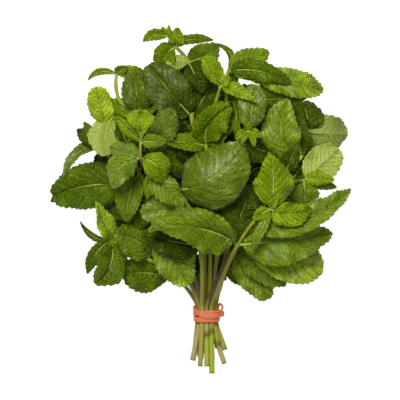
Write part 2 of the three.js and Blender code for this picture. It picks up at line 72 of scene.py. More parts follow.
LEAF_THICKNESS = 0.34
PETIOLE_SHARE = 0.06
PETIOLE_HALF_WIDTH = 0.8
TIP_HALF_WIDTH = 0.2
COLUMN_WIDTH = 2.3
FULL_WIDTH = 22  # blades this wide and wider have their full relief
BEND_SHARE = 0.45
TOOTH_PITCH = 3.1
TOOTH_STEPS = 5
TOOTH_DEPTH = 0.95
TOOTH_HOOK = 0.5
TOOTH_SPREAD = (0.7, 1.25)
FEWEST_TEETH = 5
PETIOLE_ROWS = 3
EVEN_PART = 0.55  # of the spacing of the rows, which else crowd at both ends
CROWDED_PART = 0.45
RIB_PAIRS = 7
RIB_SLANT = 0.6
RIB_CURVE = 0.5
QUILT_HEIGHT = 0.8
CELL_LENGTH = 4.2
PUFF_ROUNDING = 0.6
QUILT_WANDER = 0.4
WANDER_SIZE = 8
LUMP_SIZE = 1.9
FLAT_BESIDE_MIDRIB = 1.6
MIDRIB_GROOVE = 0.4
GROOVE_WIDTH = 0.9
MIDRIB_RADIUS = 0.45
MIDRIB_SHARE = 0.8
MIDRIB_TAPER = 0.85
MIDRIB_SIDES = 8
MARGIN_WAVE = 2.2
EDGE_CURL = (-0.45, 0.12)
LEAF_TWIST = 10
RIPPLE = 0.85
WAVE_LENGTH = 15
RIPPLE_TURN = 9  # in radians over the length of a blade
CURL_SHARPNESS = 2.5
TOOTHED_HALF = 4
GROWN_HALF = 5

BAND_HALF_ACROSS = 8.5
BAND_HALF_UP = 7.4
BAND_WIDTH = 3.6
BAND_THICKNESS = 0.9
BAND_SQUARENESS = 2 / 3
BAND_ROUNDING = 0.4
BAND_STEPS = 96
BAND_SIDES = 16

# ---- camera, floor and lights, in metres ----

CAMERA_HEIGHT = 2.038
CAMERA_ACROSS = 0.00069
CAMERA_ALONG = 0.00052
CAMERA_LENS = 257
FLOOR_SIZE = 12.0
FLOOR_GLOW = 0.96
WORLD_STRENGTH = 0.015
LIGHTS = [
    dict(name="key", place=(-0.3, 0.6, 1.35), size=0.6, power=22, colour=(1, 0.98, 0.86)),
    dict(name="overhead", place=(0.3, -0.3, 1.6), size=1.2, power=8, colour=(1, 1, 0.88)),
]


def link_object(name, data):
    made = bpy.data.objects.new(name, data)
    bpy.context.scene.collection.objects.link(made)
    return made


def make_camera():
    data = bpy.data.cameras.new("camera")
    data.lens = CAMERA_LENS
    data.clip_end = 10
    camera = link_object("camera", data)
    camera.location = (CAMERA_ACROSS, CAMERA_ALONG, CAMERA_HEIGHT)
    bpy.context.scene.camera = camera


def area_light(name, place, size, power, colour):
    data = bpy.data.lights.new(name, "AREA")
    data.size = size
    data.energy = power
    data.color = colour
    light = link_object(name, data)
    light.location = place
    light.rotation_euler = (-Vector(place)).to_track_quat("-Z", "Y").to_euler()


def light_the_scene():
    for light in LIGHTS:
        area_light(**light)
    world = bpy.data.worlds.new("studio")
    world.use_nodes = True
    background = world.node_tree.nodes["Background"]
    background.inputs["Color"].default_value = (1, 1, 1, 1)
    background.inputs["Strength"].default_value = WORLD_STRENGTH
    bpy.context.scene.world = world
    bpy.context.scene.view_settings.view_transform = "Standard"


make_camera()
light_the_scene()

# ---- shader helpers ----


def put(tree, socket, value):
    if isinstance(value, bpy.types.NodeSocket):
        tree.links.new(value, socket)
    else:
        socket.default_value = value


def add(tree, kind, inputs=None, **settings):
    made = tree.nodes.new(kind)
    for name, value in settings.items():
        setattr(made, name, value)
    for name, value in (inputs or {}).items():
        put(tree, made.inputs[name], value)
    return made


def maths(tree, operation, *values):
    made = add(tree, "ShaderNodeMath", operation=operation)
    for socket, value in zip(made.inputs, values):
        put(tree, socket, value)
    return made.outputs[0]


def ramp(tree, value, low, high, out_low=0.0, out_high=1.0):
    """A smooth step of value, from out_low at low to out_high at high."""
    inputs = {"Value": value, "From Min": low, "From Max": high, "To Min": out_low, "To Max": out_high}
    made = add(tree, "ShaderNodeMapRange", inputs, interpolation_type="SMOOTHSTEP")
    return made.outputs["Result"]


def mix_colour(tree, share, first, second, blend="MIX"):
    made = add(tree, "ShaderNodeMix", data_type="RGBA", blend_type=blend)
    put(tree, made.inputs[0], share)
    put(tree, made.inputs[6], first)
    put(tree, made.inputs[7], second)
    return made.outputs[2]


def shades(tree, value, stops):
    """A colour ramp through (place, colour) stops."""
    made = add(tree, "ShaderNodeValToRGB", {"Fac": value})
    points = made.color_ramp.elements
    while len(points) < len(stops):
        points.new(0.5)
    for point, (place, colour) in zip(points, stops):
        point.position = place
        point.color = colour
    return made.outputs["Color"]


def paint(red, green, blue):
    """An sRGB colour of 0 to 255 as linear light."""
    def linear(value):
        value = value / 255
        return value / 12.92 if value <= 0.04045 else ((value + 0.055) / 1.055) ** 2.4
    return (linear(red), linear(green), linear(blue), 1)


def spread(tree, vector, size, detail=2.0):
    """Noise of about the given size in the vector's own units."""
    inputs = {"Vector": vector, "Scale": 1 / size, "Detail": detail}
    return add(tree, "ShaderNodeTexNoise", inputs).outputs["Fac"]


def new_material(name):
    material = bpy.data.materials.new(name)
    material.use_nodes = True
    tree = material.node_tree
    tree.nodes.clear()
    return material, tree


def attribute(tree, name):
    return add(tree, "ShaderNodeAttribute", attribute_name=name).outputs["Vector"]


def parts_of(tree, vector):
    made = add(tree, "ShaderNodeSeparateXYZ", {"Vector": vector})
    return made.outputs["X"], made.outputs["Y"], made.outputs["Z"]


# ---- materials ----

YOUNG = paint(178, 204, 40)
FRESH = paint(108, 138, 8)
GROWN = paint(70, 98, 2)
# The darkest green is both the colour of old leaves and painted shade for leaves deep in the bunch.
OLD_AND_SHADED_GREEN = paint(26, 44, 0)
UNDERSIDE = paint(182, 202, 92)
RIB_GREEN = paint(154, 182, 32)
RIB_PALE = paint(196, 212, 110)
# SHEEN_GREEN is painted sheen: the pale grey-green that glossy leaf faces are pushed towards, standing for
# glancing light.
SHEEN_GREEN = paint(150, 174, 62)
STEM_GREEN = paint(142, 146, 28)
STEM_YOUNG = paint(160, 178, 40)
STEM_PURPLE = paint(98, 70, 58)
STEM_TAN = paint(176, 160, 108)
SCAR = paint(74, 54, 14)
PITH = paint(206, 206, 150)
RUBBER = paint(214, 112, 72)
RUBBER_DARK = paint(186, 88, 56)
FLOOR = paint(120, 120, 120)
GLOSS = (0.9, 1.0, 0.25, 1)
LEAF_THROUGH = 0.12  # share of the light that a blade lets through


def vein_group():
    """Masks of the midrib, the side ribs and the fine net, and the height that they give the blade."""
    tree = bpy.data.node_groups.new("leaf_veins", "ShaderNodeTree")
    for name in ("flat", "rib"):
        tree.interface.new_socket(name, in_out="INPUT", socket_type="NodeSocketVector")
    for name in ("midrib", "ribs", "net", "height"):
        tree.interface.new_socket(name, in_out="OUTPUT", socket_type="NodeSocketFloat")
    given = add(tree, "NodeGroupInput")
    result = add(tree, "NodeGroupOutput")
    flat = given.outputs["flat"]
    across, _, _ = parts_of(tree, flat)
    phase, edge, reach = parts_of(tree, given.outputs["rib"])
    width = ramp(tree, reach, 0.0, 1.0, 0.6, 0.25)
    beside = maths(tree, "DIVIDE", maths(tree, "ABSOLUTE", across), width)
    midrib = ramp(tree, beside, 0.3, 1.1, 1.0, 0.0)
    turn = maths(tree, "FRACT", maths(tree, "ADD", phase, 0.5))
    off_rib = maths(tree, "MULTIPLY", maths(tree, "ABSOLUTE", maths(tree, "SUBTRACT", turn, 0.5)), 2.0)
    ribs = ramp(tree, off_rib, 0.02, 0.16, 1.0, 0.0)
    ribs = maths(tree, "MULTIPLY", ribs, ramp(tree, edge, 0.7, 1.0, 1.0, 0.2))
    wander = add(tree, "ShaderNodeTexNoise", {"Vector": flat, "Scale": 0.3}).outputs["Color"]
    bent = add(tree, "ShaderNodeVectorMath", {0: flat, 1: wander}, operation="ADD").outputs[0]
    inputs = {"Vector": bent, "Scale": 0.42}
    cells = add(tree, "ShaderNodeTexVoronoi", inputs, feature="DISTANCE_TO_EDGE")
    far = cells.outputs["Distance"]
    net = ramp(tree, far, 0.0, 0.12, 1.0, 0.0)
    pillow = ramp(tree, far, 0.0, 0.45)
    dents = maths(tree, "MULTIPLY", ribs, 0.7)
    height = maths(tree, "SUBTRACT", maths(tree, "MULTIPLY", pillow, 0.55), dents)
    height = maths(tree, "SUBTRACT", height, midrib)
    put(tree, result.inputs["midrib"], midrib)
    put(tree, result.inputs["ribs"], ribs)
    put(tree, result.inputs["net"], net)
    put(tree, result.inputs["height"], height)
    return tree


VEINS = vein_group()


def veins_in(tree):
    flat = attribute(tree, "flat")
    made = add(tree, "ShaderNodeGroup", node_tree=VEINS)
    put(tree, made.inputs["flat"], flat)
    put(tree, made.inputs["rib"], attribute(tree, "rib"))
    return flat, made.outputs


def finish_shader(tree, colour, roughness, height, relief, through, **fixed):
    """A Principled surface with relief in millimetres that lets a share of the light through."""
    bump = add(tree, "ShaderNodeBump", {"Height": height, "Distance": relief * MM, "Strength": 1.0})
    inputs = {"Base Color": colour, "Roughness": roughness, "Normal": bump.outputs["Normal"]}
    surface = add(tree, "ShaderNodeBsdfPrincipled", inputs)
    for name, value in fixed.items():
        surface.inputs[name.replace("_", " ")].default_value = value
    last = surface.outputs["BSDF"]
    if through:
        glow = add(tree, "ShaderNodeBsdfTranslucent", {"Color": colour})
        both = add(tree, "ShaderNodeMixShader", {0: through, 1: last, 2: glow.outputs["BSDF"]})
        last = both.outputs["Shader"]
    output = add(tree, "ShaderNodeOutputMaterial")
    put(tree, output.inputs["Surface"], last)
    return surface


def leaf_material():
    material, tree = new_material("mint_leaf_face")
    flat, veins = veins_in(tree)
    tone, sheen, _ = parts_of(tree, attribute(tree, "tints"))
    # Lighter and darker patches over each blade: partly the leaf's own mottling, partly painted light and
    # shade for its unevenly lit folds.
    mottling_and_painted_shade = spread(tree, flat, 9.0)
    tone = maths(tree, "ADD", tone, maths(tree, "MULTIPLY", maths(tree, "SUBTRACT", mottling_and_painted_shade, 0.5), 0.6))
    # The ramp runs from young to old, and its dark end is also painted shade: leaves deep in the bunch are
    # set near 1.
    colour = shades(tree, tone, [(0.0, YOUNG), (0.3, FRESH), (0.6, GROWN), (1.0, OLD_AND_SHADED_GREEN)])
    _, _, reach = parts_of(tree, attribute(tree, "rib"))
    # Painted sheen: on glossy leaves, in patches and more towards the tip, the face is greyed towards
    # SHEEN_GREEN and its vein net is drawn paler, standing for glancing light. The same mask also gives the
    # real coat gloss below.
    patch = maths(tree, "MULTIPLY", ramp(tree, spread(tree, flat, 8.0), 0.3, 0.7, 0.5, 1.0), sheen)
    gloss_and_painted_sheen = maths(tree, "MULTIPLY", patch, ramp(tree, reach, 0.1, 0.7, 0.4, 1.0))
    colour = mix_colour(tree, maths(tree, "MULTIPLY", gloss_and_painted_sheen, 0.38), colour, SHEEN_GREEN)
    lines = maths(tree, "MULTIPLY", veins["net"], ramp(tree, gloss_and_painted_sheen, 0.1, 0.8, 0.12, 0.34))
    lines = maths(tree, "MAXIMUM", lines, maths(tree, "MULTIPLY", veins["ribs"], 0.55))
    lines = maths(tree, "MAXIMUM", lines, maths(tree, "MULTIPLY", veins["midrib"], 0.6))
    vein = shades(tree, tone, [(0.2, FRESH), (0.45, RIB_GREEN), (1.0, GROWN)])
    colour = mix_colour(tree, lines, colour, mix_colour(tree, gloss_and_painted_sheen, vein, RIB_GREEN))
    roughness = ramp(tree, spread(tree, flat, 4.0), 0.2, 0.8, 0.42, 0.56)
    gloss = dict(Specular_Tint=GLOSS, Specular_IOR_Level=0.4, Coat_Roughness=0.34)
    surface = finish_shader(tree, colour, roughness, veins["height"], 1.0, LEAF_THROUGH, **gloss)
    put(tree, surface.inputs["Coat Weight"], maths(tree, "MULTIPLY", gloss_and_painted_sheen, 0.75))
    return material


def underside_material():
    material, tree = new_material("mint_leaf_back")
    flat, veins = veins_in(tree)
    tone, _, _ = parts_of(tree, attribute(tree, "tints"))
    colour = mix_colour(tree, maths(tree, "MULTIPLY", tone, 0.5), UNDERSIDE, GROWN)
    colour = mix_colour(tree, maths(tree, "MULTIPLY", veins["net"], 0.5), colour, GROWN)
    lines = maths(tree, "MULTIPLY", veins["ribs"], 0.35)
    lines = maths(tree, "MAXIMUM", lines, maths(tree, "MULTIPLY", veins["midrib"], 0.35))
    colour = mix_colour(tree, lines, colour, RIB_PALE)
    raised = maths(tree, "MULTIPLY", veins["height"], -1.0)
    finish_shader(tree, colour, 0.6, raised, 0.5, LEAF_THROUGH)
    return material


def stem_material():
    material, tree = new_material("mint_stem_skin")
    flat = attribute(tree, "flat")
    tone, purple, cut = parts_of(tree, attribute(tree, "tints"))
    tan, scar, _ = parts_of(tree, attribute(tree, "rib"))
    colour = mix_colour(tree, tone, STEM_YOUNG, STEM_GREEN)
    colour = mix_colour(tree, tan, colour, STEM_TAN)
    stretch = add(tree, "ShaderNodeMapping", {"Vector": flat, "Scale": (2.2, 0.12, 1.0)})
    streaks = spread(tree, stretch.outputs["Vector"], 1.0, 3.0)
    blush = spread(tree, flat, 14.0)
    purpled = maths(tree, "MULTIPLY", ramp(tree, blush, 0.3, 0.65, 0.6, 1.0), purple)
    colour = mix_colour(tree, purpled, colour, STEM_PURPLE)
    colour = mix_colour(tree, ramp(tree, streaks, 0.5, 0.75, 0.0, 0.25), colour, STEM_PURPLE)
    colour = mix_colour(tree, scar, colour, SCAR)
    colour = mix_colour(tree, cut, colour, PITH)
    finish_shader(tree, colour, 0.5, streaks, 0.25, 0.0, Specular_IOR_Level=0.3)
    return material


def rubber_material():
    material, tree = new_material("band_rubber")
    place = add(tree, "ShaderNodeTexCoord").outputs["Object"]
    grain = spread(tree, place, 0.6 * MM, 4.0)
    cloud = spread(tree, place, 6 * MM)
    colour = mix_colour(tree, ramp(tree, cloud, 0.3, 0.7, 0.0, 0.35), RUBBER, RUBBER_DARK)
    finish_shader(tree, colour, 0.55, grain, 0.12, 0.0)
    return material


def floor_material():
    material, tree = new_material("pale_floor")
    surface = add(tree, "ShaderNodeBsdfPrincipled", {"Base Color": FLOOR, "Roughness": 0.9})
    surface.inputs["Emission Color"].default_value = (1, 1, 1, 1)
    surface.inputs["Emission Strength"].default_value = FLOOR_GLOW
    output = add(tree, "ShaderNodeOutputMaterial")
    put(tree, output.inputs["Surface"], surface.outputs["BSDF"])
    return material


FACE = leaf_material()
BACK = underside_material()
SKIN = stem_material()
BAND = rubber_material()

# ---- the stems and their leaves ----


def leaf(
    node, tip, width, roll=0, twist=0, fold=0, arch=0, bow=0,
    belly=0.4, blunt=0.62, tone=0.5, sheen=0,
):
    """A leaf: the node it grows from, its tip, its width and how it is held.

    roll turns the blade about its midrib, twist is how much more its tip is turned than its base, and
    fold lifts its two halves, in degrees. arch and bow bend the midrib up and sideways, in millimetres.
    belly is the share of its length where it is widest, and blunt says how narrow its two ends are,
    less being rounder. tone runs from 0, young, to 1, old, and is also painted light and shade, leaves
    deep in the bunch being set darkest. sheen is how glossy it is and how much painted sheen greys it.
    """
    return dict(
        node=node, tip=Vector(tip), width=width, roll=math.radians(roll), twist=math.radians(twist),
        fold=math.radians(fold), arch=arch, bow=bow, belly=belly, blunt=blunt, tone=tone, sheen=sheen,
    )


STEMS = {
    "stem_top_left": dict(
        slot=(-3.2, 1.7),
        cut=(-3.4, -27.2, 10.5),
        nodes=[
            (-5, 48, 38), (-9, 95, 46), (-12, 139, 50),
            (-14, 177, 46), (-23, 188, 45), (-28, 195, 46),
        ],
        purple=[(3.5, 0.5, 1)],
        leaves=[
            leaf(0, (-43, 55, 48), 24, roll=-8, fold=8, arch=4, belly=0.45, blunt=0.5, tone=0.85),
            leaf(1, (-32, 130, 44), 24, fold=10, arch=4, tone=0.7),
            leaf(1, (-19, 138, 50), 19, fold=10, arch=3, tone=1.0),
            leaf(1, (14, 118, 40), 22, fold=10, arch=3, tone=0.7),
            leaf(
                2, (-42, 175, 57), 30, roll=8, fold=14, arch=5,
                belly=0.5, blunt=0.5, tone=0.95, sheen=0.5,
            ),
            leaf(2, (4, 165, 38), 24, fold=12, arch=3, tone=0.8),
            leaf(3, (7, 188, 44), 18, fold=15, arch=4, bow=-1, tone=0.5, sheen=0.4),
            leaf(3, (-6, 191, 34), 9, roll=40, fold=10, tone=0.65),
            leaf(3, (-4, 156, 54), 18, fold=10, arch=4, tone=0.9),
            leaf(3, (-31, 171, 50), 10, roll=180, fold=10, bow=3, tone=0.45),
            leaf(4, (-31, 171, 44), 17, fold=20, arch=3, bow=-4, belly=0.45, blunt=0.7, tone=0.4),
            leaf(4, (-22, 201, 54), 11, fold=12, arch=2, tone=0.25),
            leaf(4.3, (3, 193, 42), 8, roll=20, fold=20, bow=2, tone=0.5),
            leaf(5, (-46, 192, 42), 8, fold=20, arch=3, bow=-3, tone=0.3),
            leaf(5, (-28, 203, 48), 4, fold=20, tone=0.2),
            leaf(5, (-33, 202, 48), 4, fold=20, tone=0.2),
        ],
    ),
    "stem_top_centre": dict(
        slot=(0.1, 1.7),
        cut=(1.6, -26.2, 8),
        nodes=[(1, 60, 42), (-2, 119, 52), (5, 150, 58), (8, 160, 66)],
        leaves=[
            leaf(0, (26, 92, 38), 24, fold=10, arch=1, tone=0.8),
            leaf(0, (-22, 88, 50), 24, fold=8, arch=4, tone=0.9),
            leaf(1, (-31, 122, 58), 13, roll=-15, fold=15, arch=3, tone=0.45),
            leaf(
                1, (15, 146, 68), 24, roll=-15, fold=25, arch=3, bow=7,
                belly=0.5, blunt=0.5, tone=0.45,
            ),
            leaf(1, (20, 137, 56), 18, roll=30, fold=15, arch=2, tone=0.55),
            leaf(3, (-4, 180, 62), 13, fold=14, arch=3, bow=-1, belly=0.5, blunt=0.5, tone=0.25),
            leaf(3, (14, 167, 70), 9, fold=30, arch=1, tone=0.2),
            leaf(3, (33, 148, 74), 10, roll=20, fold=18, arch=2, bow=1, belly=0.3, blunt=0.8, tone=0.2),
        ],
    ),
    "stem_upper_left": dict(
        slot=(-6.5, 1.7),
        cut=(-11.5, -32.7, 10.5),
        nodes=[
            (-23, 46, 34), (-36, 95, 44), (-47, 138, 50),
            (-62, 150, 46), (-65, 161, 46), (-64.5, 169, 46),
        ],
        tan=0.9, purple=[(-1, 2, 0.35)],
        leaves=[
            leaf(
                0.4, (-14, 22, 34), 28, fold=8, arch=1, bow=-4,
                belly=0.5, blunt=0.5, tone=0.3, sheen=0.8,
            ),
            leaf(
                1.4, (-25, 144, 68), 20, roll=10, fold=8, arch=3,
                belly=0.5, blunt=0.5, tone=0.8, sheen=0.9,
            ),
            leaf(2, (-53, 170, 52), 21, fold=16, arch=2, belly=0.55, blunt=0.5, tone=0.7, sheen=0.4),
            leaf(2, (-69, 150, 42), 19, fold=10, arch=2, tone=0.4),
            leaf(2, (-33, 148, 58), 5, fold=20, arch=6, tone=0.5),
            leaf(5, (-85, 165, 38), 5, fold=20, arch=3, bow=-4, tone=0.3),
            leaf(5, (-57, 174, 50), 8, fold=20, arch=1, tone=0.35),
            leaf(5, (-44, 169, 46), 9, roll=15, fold=15, arch=2, bow=1, tone=0.3),
        ],
    ),
    "stem_left_high": dict(
        slot=(-4.8, -1.5),
        cut=(-6.6, -30.2, 5.5),
        nodes=[(-16, 42, 24), (-42, 86, 38), (-57, 120, 46), (-66, 140, 42), (-72, 132, 38)],
        tan=1.0, purple=[(-0.5, 1.5, 0.35)],
        leaves=[
            leaf(1.4, (-57, 66, 46), 18, fold=12, arch=3, bow=-3, belly=0.45, tone=0.45, sheen=0.3),
            leaf(1, (-75, 74, 24), 24, fold=10, arch=2, tone=0.8),
            leaf(1, (-50, 60, 36), 16, fold=10, arch=2, tone=0.7),
            leaf(1.4, (-43, 126, 39), 24, fold=8, arch=2, tone=0.85),
            leaf(
                3, (-72, 112, 52), 30, roll=160, fold=30, arch=-2, bow=3,
                belly=0.45, blunt=0.6, tone=0.35,
            ),
            leaf(2, (-65, 141, 58), 15, roll=-50, fold=15, tone=0.6, sheen=0.3),
            leaf(2, (-48, 138, 50), 14, fold=10, tone=0.8),
            leaf(4, (-79, 160, 46), 17, fold=6, arch=3, belly=0.58, blunt=0.45, tone=0.1, sheen=0.2),
        ],
    ),
    "stem_front_left": dict(
        slot=(-4.8, 5),
        cut=(-6.2, -36.7, 14),
        nodes=[
            (-5.5, 42, 44), (-11, 69, 56), (-22, 88, 62),
            (-41, 100, 68), (-47, 110, 72), (-47, 121, 76),
        ],
        tan=0.35, purple=[(3.3, 0.9, 1.4)],
        leaves=[
            leaf(
                1, (-47, 71, 58), 21, fold=8, arch=3, bow=-4,
                belly=0.5, blunt=0.5, tone=0.45, sheen=0.7,
            ),
            leaf(
                2, (24, 118, 70), 42, roll=4, fold=-7, arch=10, bow=-7,
                belly=0.42, blunt=0.38, tone=0.64, sheen=0.75,
            ),
            leaf(3, (-18, 77, 66), 18, fold=10, arch=3, tone=0.4, sheen=0.7),
            leaf(3, (-43, 82, 66), 7, fold=15, tone=0.3),
            leaf(4, (-31, 94, 72), 18, fold=10, arch=6, bow=4, belly=0.5, blunt=0.5, tone=0.28),
            leaf(4, (-66, 89, 64), 20, fold=-12, arch=3, bow=-6, tone=0.45, sheen=0.95),
            leaf(4, (-69, 118, 56), 16, fold=10, arch=2, tone=0.45, sheen=0.5),
            leaf(5, (-64, 139, 78), 8, roll=25, fold=25, arch=1, belly=0.5, tone=0.3),
            leaf(5, (-47, 143, 84), 21, fold=32, arch=1, belly=0.78, blunt=0.55, tone=0.15),
            leaf(5, (-29, 122, 76), 10, fold=12, arch=2, tone=0.4, sheen=0.2),
        ],
    ),
    "stem_left": dict(
        slot=(-6.4, -4.7),
        cut=(-10.2, -28.2, 1.5),
        nodes=[(-20, 34, 14), (-38, 66, 24), (-55, 91, 32), (-67, 107, 34), (-75, 118, 36)],
        leaves=[
            leaf(1, (-72, 66, 9), 22, fold=10, arch=3, tone=0.7),
            leaf(2, (-110, 84, 26), 32, fold=10, arch=6, bow=-4, belly=0.48, blunt=0.46, tone=0.68),
            leaf(2, (-30, 112, 34), 22, fold=10, arch=3, tone=0.8),
            leaf(3, (-112, 80, 16), 16, fold=10, arch=3, tone=0.7),
            leaf(4, (-102, 97, 34), 8, roll=-30, fold=15, bow=-9, tone=0.6, sheen=0.6),
            leaf(4, (-93, 131, 27), 12, fold=12, arch=2, tone=0.8),
            leaf(4, (-88, 136, 30), 8, fold=12, arch=2, tone=0.5),
        ],
    ),
    "stem_low_left": dict(
        slot=(-8.1, -1.5),
        cut=(-10, -25.2, 6.5),
        nodes=[(-25, 29, 18), (-42, 39, 24), (-58, 48, 28), (-69, 53, 30)],
        leaves=[
            leaf(0, (-61, 30, 16), 28, fold=8, arch=3, belly=0.58, blunt=0.55, tone=0.6),
            leaf(1, (-50, 68, 31), 20, fold=10, arch=3, tone=0.65),
            leaf(2, (-40, 66, 36), 20, fold=10, arch=2, tone=0.65),
            leaf(
                1, (-66, 58, 40), 25, fold=10, arch=3, bow=-5,
                belly=0.5, blunt=0.5, tone=0.5, sheen=0.3,
            ),
            leaf(
                3, (-79, 80, 44), 16, roll=-20, fold=28, arch=2,
                belly=0.3, blunt=0.8, tone=0.12, sheen=0.9,
            ),
            leaf(2.6, (-73, 53, 34), 8, fold=8, tone=0.3),
            leaf(3, (-91, 66, 22), 5, roll=30, fold=15, bow=5, tone=0.75),
            leaf(3, (-86, 29, 20), 10, fold=12, arch=3, bow=-3, tone=0.6),
            leaf(
                3, (-80, 22, 26), 23, roll=20, fold=24, arch=3, bow=5,
                belly=0.5, blunt=0.55, tone=0.55, sheen=0.2,
            ),
            leaf(2.6, (-63, 30, 12), 12, fold=10, arch=3, tone=0.65),
        ],
    ),
    "stem_upper_right": dict(
        slot=(-1.5, 5),
        cut=(-1.3, -36.7, 14.5),
        nodes=[(12, 43, 36), (14, 92, 54), (20, 121, 64), (27, 129, 70)],
        tan=0.8, scar=-14, purple=[(-0.6, 1, 1)],
        leaves=[
            leaf(0, (30, 92, 58), 30, fold=8, arch=5, tone=0.85),
            leaf(1, (44, 110, 46), 26, fold=10, arch=2, tone=1.0),
            leaf(2, (18, 152, 60), 9, roll=60, fold=15, tone=0.5),
            leaf(2, (47, 112, 56), 20, roll=20, fold=10, tone=0.85),
            leaf(3, (32, 161, 64), 20, fold=10, arch=2, belly=0.5, blunt=0.45, tone=0.65, sheen=0.85),
            leaf(3, (18, 123, 73), 5, fold=20, bow=-1, tone=0.2),
            leaf(3, (22, 120, 75), 4, fold=20, tone=0.15),
            leaf(3, (31, 118, 73), 5, fold=20, bow=1, tone=0.2),
            leaf(3, (36, 124, 72), 6, fold=20, bow=1, tone=0.2),
            leaf(3, (26, 135, 75), 5, fold=25, blunt=0.5, tone=0.15),
        ],
    ),
    "stem_top_right": dict(
        slot=(1.8, -1.5),
        cut=(11, -35.2, 4.5),
        nodes=[(7, 58, 28), (10, 115, 34), (12, 150, 38), (13, 171, 40)],
        tan=0.8,
        leaves=[
            leaf(1, (-14, 142, 30), 22, fold=10, arch=3, tone=0.8),
            leaf(1, (47, 138, 32), 26, fold=8, arch=3, tone=0.9),
            leaf(2, (17, 173, 32), 12, fold=10, arch=2, tone=0.8),
            leaf(3, (57, 163, 44), 15, fold=14, arch=4, bow=4, tone=0.6),
            leaf(3, (42, 185, 38), 19, fold=12, arch=3, tone=0.3, sheen=0.3),
            leaf(
                3, (80, 158, 36), 20, fold=14, arch=4, bow=1,
                belly=0.68, blunt=0.6, tone=0.28, sheen=0.6,
            ),
            leaf(2, (68, 153, 31), 20, fold=10, arch=3, tone=0.7),
            leaf(3, (3, 191, 38), 5, roll=-20, fold=15, bow=-8, tone=0.5),
        ],
    ),
    "stem_right_high": dict(
        slot=(3.4, 1.7),
        cut=(6.6, -19.7, 13),
        nodes=[(15, 42, 28), (33, 78, 44), (53, 100, 50), (64, 111, 52), (68, 129, 48)],
        purple=[(-0.8, 1.5, 0.4)],
        leaves=[
            leaf(2, (37, 131, 52), 11, fold=15, arch=2, tone=0.4),
            leaf(2, (43, 116, 52), 14, fold=12, arch=2, tone=0.7),
            leaf(2, (60, 118, 56), 13, fold=12, arch=3, tone=0.75),
            leaf(
                3, (55, 151, 64), 30, roll=14, fold=22, arch=5, bow=9,
                belly=0.45, blunt=0.7, tone=0.33, sheen=1,
            ),
            leaf(3, (46, 167, 15), 26, fold=10, arch=2, belly=0.5, blunt=0.5, tone=0.7),
            leaf(4, (97, 127, 42), 26, roll=168, fold=6, arch=-3, belly=0.5, blunt=0.45, tone=0.9),
            leaf(3, (64, 141, 56), 13, fold=8, arch=4, bow=1, tone=0.75),
            leaf(4, (65, 149, 44), 22, fold=10, arch=2, bow=-2, belly=0.45, blunt=0.6, tone=0.85),
            leaf(4, (71, 104, 50), 8, fold=15, tone=0.4),
        ],
    ),
    "stem_right": dict(
        slot=(3.5, -4.7),
        cut=(6.4, -24.2, 2),
        nodes=[(14, 42, 16), (37, 76, 33), (56, 93, 46), (66, 95, 52)],
        purple=[(2.7, 0.4, 1)],
        leaves=[
            leaf(3, (87, 95, 56), 10, fold=15, arch=2, bow=1, tone=0.2),
            leaf(3, (89, 90, 48), 8, fold=12, arch=2, tone=0.4),
            leaf(3, (67, 75, 48), 20, fold=10, arch=3, belly=0.5, blunt=0.5, tone=0.4, sheen=0.4),
            leaf(3, (90, 117, 50), 24, roll=180, fold=10, arch=-2, belly=0.5, blunt=0.45, tone=0.2),
            leaf(2, (50, 117, 40), 18, fold=12, arch=2, tone=0.8),
            leaf(2, (74, 117, 36), 22, fold=10, arch=3, tone=0.8),
        ],
    ),
    "stem_front_right": dict(
        slot=(1.8, 5),
        cut=(2.1, -41.7, 14),
        nodes=[(8, 22, 30), (14, 38, 44), (20, 50, 54), (31, 66, 64), (42, 75, 70)],
        tan=0.2, scar=-12, purple=[(1, 1.5, 0.35)],
        leaves=[
            leaf(
                2, (-42, 60, 64), 34, twist=-105, fold=36, arch=6, bow=-7,
                belly=0.42, blunt=0.5, tone=0.45, sheen=0.5,
            ),
            leaf(
                2, (86, 58, 50), 35, roll=4, fold=6, arch=8, bow=-1,
                belly=0.42, blunt=0.8, tone=0.42, sheen=0.5,
            ),
            leaf(
                3, (98, 89, 56), 23, roll=10, twist=30, fold=28, arch=3, bow=-10,
                belly=0.32, blunt=0.6, tone=0.45, sheen=1,
            ),
            leaf(
                4, (41, 114, 74), 30, roll=4, fold=-20, arch=5, bow=-3,
                belly=0.38, blunt=0.95, tone=0.27,
            ),
            leaf(4, (71, 75, 67), 17, fold=14, arch=3, bow=-4, tone=0.27),
            leaf(4, (30, 68, 70), 9, fold=15, arch=1, tone=0.25),
            leaf(4, (28, 46, 66), 8, roll=-20, fold=25, arch=3, bow=2, tone=0.4, sheen=0.9),
            leaf(4, (47, 84, 80), 6, fold=20, tone=0.15),
        ],
    ),
    "stem_low_right": dict(
        slot=(5.1, -1.5),
        cut=(11.5, -25.2, 10),
        nodes=[(8, 20, 14), (17, 42, 24), (27, 52, 32), (40, 64, 36)],
        tan=0.1,
        leaves=[
            leaf(0.6, (30, 23, 12), 14, fold=8, arch=2, belly=0.45, blunt=0.45, tone=0.65),
            leaf(
                1, (41, 11, 22), 24, fold=12, arch=4, bow=3,
                belly=0.42, blunt=0.5, tone=0.38, sheen=0.6,
            ),
            leaf(1.5, (54, 21, 28), 22, fold=14, arch=5, tone=0.55, sheen=0.6),
            leaf(
                2, (80, 34, 42), 32, roll=6, fold=8, arch=6, bow=-3,
                belly=0.6, blunt=0.45, tone=0.15, sheen=1,
            ),
            leaf(2, (22, 92, 30), 24, fold=10, arch=1, tone=0.9),
            leaf(3, (78, 78, 34), 24, fold=10, arch=3, tone=0.5),
        ],
    ),
    # The back stems' leaves are set to tone 0.95 to 1, painted shade for the depths of the bunch.
    "stem_back_centre": dict(
        slot=(-1.5, -1.5),
        cut=(-0.8, -32.2, 4.5),
        nodes=[(-4, 55, 16), (-8, 95, 20), (-16, 130, 22), (-20, 155, 24)],
